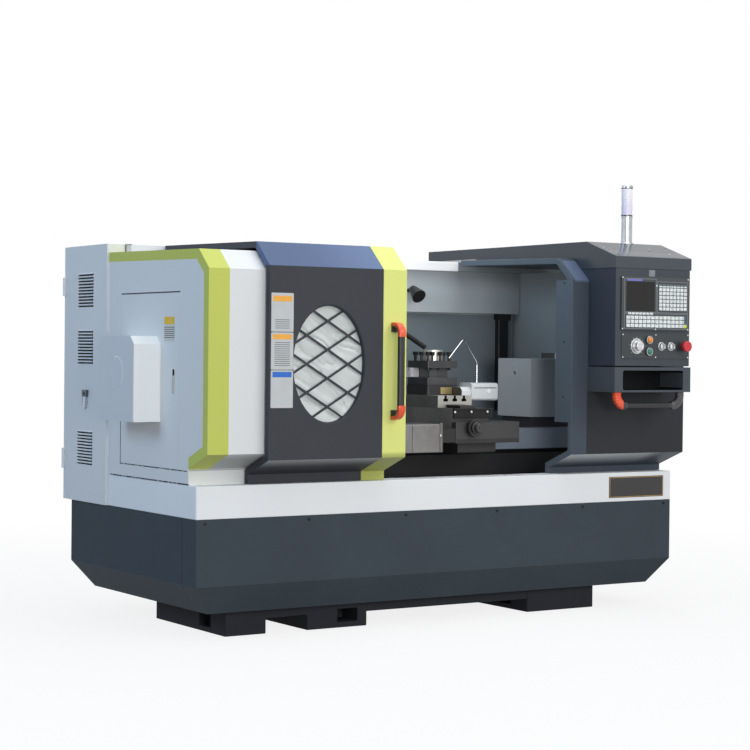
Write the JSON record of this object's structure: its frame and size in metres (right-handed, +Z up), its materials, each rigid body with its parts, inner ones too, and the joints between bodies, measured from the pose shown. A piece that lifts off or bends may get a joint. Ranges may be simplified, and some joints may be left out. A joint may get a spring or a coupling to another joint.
{
  "type": "cnc turning lathe",
  "caption": "Flat-bed turning lathe with a control box on a sliding door, tool post on a cross slide, tailstock, chip tray and signal lamp.",
  "frame": {"origin": "bottom centre of the machine's bounding box, on the floor", "axes": "+X from the headstock to the tailstock, +Y from the operator to the back, +Z up"},
  "size_m": [2.518, 1.519, 1.863],
  "materials": {
    "white_paint": "satin",
    "slate_paint": "satin",
    "charcoal_paint": "satin",
    "lime_paint": "satin",
    "grey_paint": "satin",
    "cast_grey": "matte",
    "ground_steel": "ground",
    "dark_steel": "blackened",
    "bright_steel": "polished",
    "aluminium": "cast",
    "black_plastic": "matte",
    "orange_plastic": "gloss",
    "red_plastic": "gloss",
    "green_plastic": "gloss",
    "panel_grey": "satin",
    "pane": "translucent white",
    "lamp": "clear",
    "rubber": "matte"
  },
  "bodies": {
    "machine": {"foot_left": "slate_paint", "foot_right": "slate_paint", "base_skirt": "slate_paint", "chip_tray": "white_paint", "bed": "slate_paint", "headstock": "grey_paint", "belt_guard": "grey_paint", "drive_motor": "grey_paint", "end_cover": "white_paint", "cabinet": "white_paint", "rear_guard": "grey_paint", "header_beam": "white_paint", "end_wall": "grey_paint", "cable_duct": "black_plastic", "work_lamp": "black_plastic"},
    "access_panel": {"access_panel": "white_paint", "spindle_box": "white_paint"},
    "cabinet_door": {"cabinet_door": "white_paint"},
    "cabinet_latch": {"cabinet_latch": "dark_steel"},
    "spindle": {"spindle": "ground_steel", "chuck_body": "ground_steel"},
    "jaw_1": {"chuck_jaw_1": "ground_steel"},
    "jaw_2": {"chuck_jaw_2": "ground_steel"},
    "jaw_3": {"chuck_jaw_3": "ground_steel"},
    "carriage": {"saddle": "cast_grey", "nut_housing": "cast_grey", "screw_cap": "black_plastic", "screw_cover": "ground_steel", "way_wiper": "rubber"},
    "cross_slide": {"cross_slide": "cast_grey", "post_base": "dark_steel", "switch_box": "aluminium", "coolant_pipe": "bright_steel", "coolant_hose": "rubber"},
    "tool_post": {"post_head": "ground_steel", "post_top": "ground_steel", "clamp_bolts": "dark_steel"},
    "tailstock": {"tailstock_body": "grey_paint"},
    "quill": {"tailstock_quill": "ground_steel"},
    "handwheel": {"tailstock_handwheel": "bright_steel"},
    "left_door": {"door_left": "charcoal_paint", "door_left_edge": "lime_paint", "window_pane": "pane", "window_lattice": "charcoal_paint", "door_handle": "black_plastic", "door_handle_caps": "orange_plastic"},
    "right_door": {"door_right": "slate_paint", "cable_hood": "slate_paint", "control_box": "slate_paint", "pocket_box": "slate_paint", "cnc_unit": "panel_grey", "button_plate": "dark_steel", "panel_handle": "black_plastic", "signal_lamp": "lamp"},
    "selector_knob": {"selector_knob": "aluminium"},
    "orange_button": {"button_orange": "orange_plastic"},
    "green_button": {"button_green": "green_plastic"},
    "left_key_switch": {"key_switch_left": "bright_steel"},
    "right_key_switch": {"key_switch_right": "bright_steel"},
    "emergency_stop": {"estop_button": "red_plastic"}
  },
  "joints": [
    {"name": "left_door_slide", "type": "slide", "parent": "machine", "child": "left_door", "axis": [1, 0, 0], "range_m": [0, 0.62]},
    {"name": "right_door_slide", "type": "slide", "parent": "machine", "child": "right_door", "axis": [1, 0, 0], "range_m": [-0.264, 0]},
    {"name": "access_panel_hinge", "type": "hinge", "parent": "machine", "child": "access_panel", "pos_m": [-1.141, 0.2095, 1], "axis": [0, 0, -1], "range_deg": [0, 90]},
    {"name": "cabinet_door_hinge", "type": "hinge", "parent": "machine", "child": "cabinet_door", "pos_m": [-1.151, 0.7595, 1.015], "axis": [0, 0, -1], "range_deg": [0, 110]},
    {"name": "cabinet_latch_turn", "type": "hinge", "parent": "cabinet_door", "child": "cabinet_latch", "pos_m": [-1.151, 0.5285, 0.92511], "axis": [1, 0, 0], "range_deg": [0, 90]},
    {"name": "spindle_spin", "type": "hinge", "parent": "machine", "child": "spindle", "pos_m": [-0.249, 0.0095, 1.03], "axis": [1, 0, 0], "continuous": true},
    {"name": "jaw_1_slide", "type": "slide", "parent": "spindle", "child": "jaw_1", "axis": [0, 0, 1], "range_m": [-0.012, 0.008]},
    {"name": "jaw_2_slide", "type": "slide", "parent": "spindle", "child": "jaw_2", "axis": [0, -0.866, -0.5], "range_m": [-0.012, 0.008]},
    {"name": "jaw_3_slide", "type": "slide", "parent": "spindle", "child": "jaw_3", "axis": [0, 0.866, -0.5], "range_m": [-0.012, 0.008]},
    {"name": "carriage_travel", "type": "slide", "parent": "machine", "child": "carriage", "axis": [1, 0, 0], "range_m": [-0.185, 0.18]},
    {"name": "cross_travel", "type": "slide", "parent": "carriage", "child": "cross_slide", "axis": [0, 1, 0], "range_m": [-0.1, 0.15]},
    {"name": "tool_post_index", "type": "hinge", "parent": "cross_slide", "child": "tool_post", "pos_m": [0.21, -0.083, 1.03], "axis": [0, 0, 1], "continuous": true},
    {"name": "tailstock_slide", "type": "slide", "parent": "machine", "child": "tailstock", "axis": [1, 0, 0], "range_m": [-0.09, 0]},
    {"name": "quill_slide", "type": "slide", "parent": "tailstock", "child": "quill", "axis": [-1, 0, 0], "range_m": [0, 0.12]},
    {"name": "handwheel_turn", "type": "hinge", "parent": "tailstock", "child": "handwheel", "pos_m": [1.071, 0.0095, 1.03], "axis": [-1, 0, 0], "range_deg": [0, 8640]},
    {"name": "selector_turn", "type": "hinge", "parent": "right_door", "child": "selector_knob", "pos_m": [0.825, -0.7215, 1.157], "axis": [0, 1, 0], "range_deg": [-135, 135]},
    {"name": "orange_press", "type": "slide", "parent": "right_door", "child": "orange_button", "axis": [0, 1, 0], "range_m": [0, 0.004], "stiffness_N_per_m": 600, "springref_m": -0.001},
    {"name": "green_press", "type": "slide", "parent": "right_door", "child": "green_button", "axis": [0, 1, 0], "range_m": [0, 0.004], "stiffness_N_per_m": 600, "springref_m": -0.001},
    {"name": "left_key_turn", "type": "hinge", "parent": "right_door", "child": "left_key_switch", "pos_m": [0.963, -0.7215, 1.157], "axis": [0, 1, 0], "range_deg": [0, 60]},
    {"name": "right_key_turn", "type": "hinge", "parent": "right_door", "child": "right_key_switch", "pos_m": [1.017, -0.7215, 1.157], "axis": [0, 1, 0], "range_deg": [0, 60]},
    {"name": "stop_press", "type": "slide", "parent": "right_door", "child": "emergency_stop", "axis": [0, 1, 0], "range_m": [0, 0.005]}
  ],
  "couplings": [
    {"joint": "jaw_2_slide", "follows": "jaw_1_slide", "ratio": 1},
    {"joint": "jaw_3_slide", "follows": "jaw_1_slide", "ratio": 1},
    {"joint": "quill_slide", "follows": "handwheel_turn", "m_per_rad": 0.000795}
  ]
}
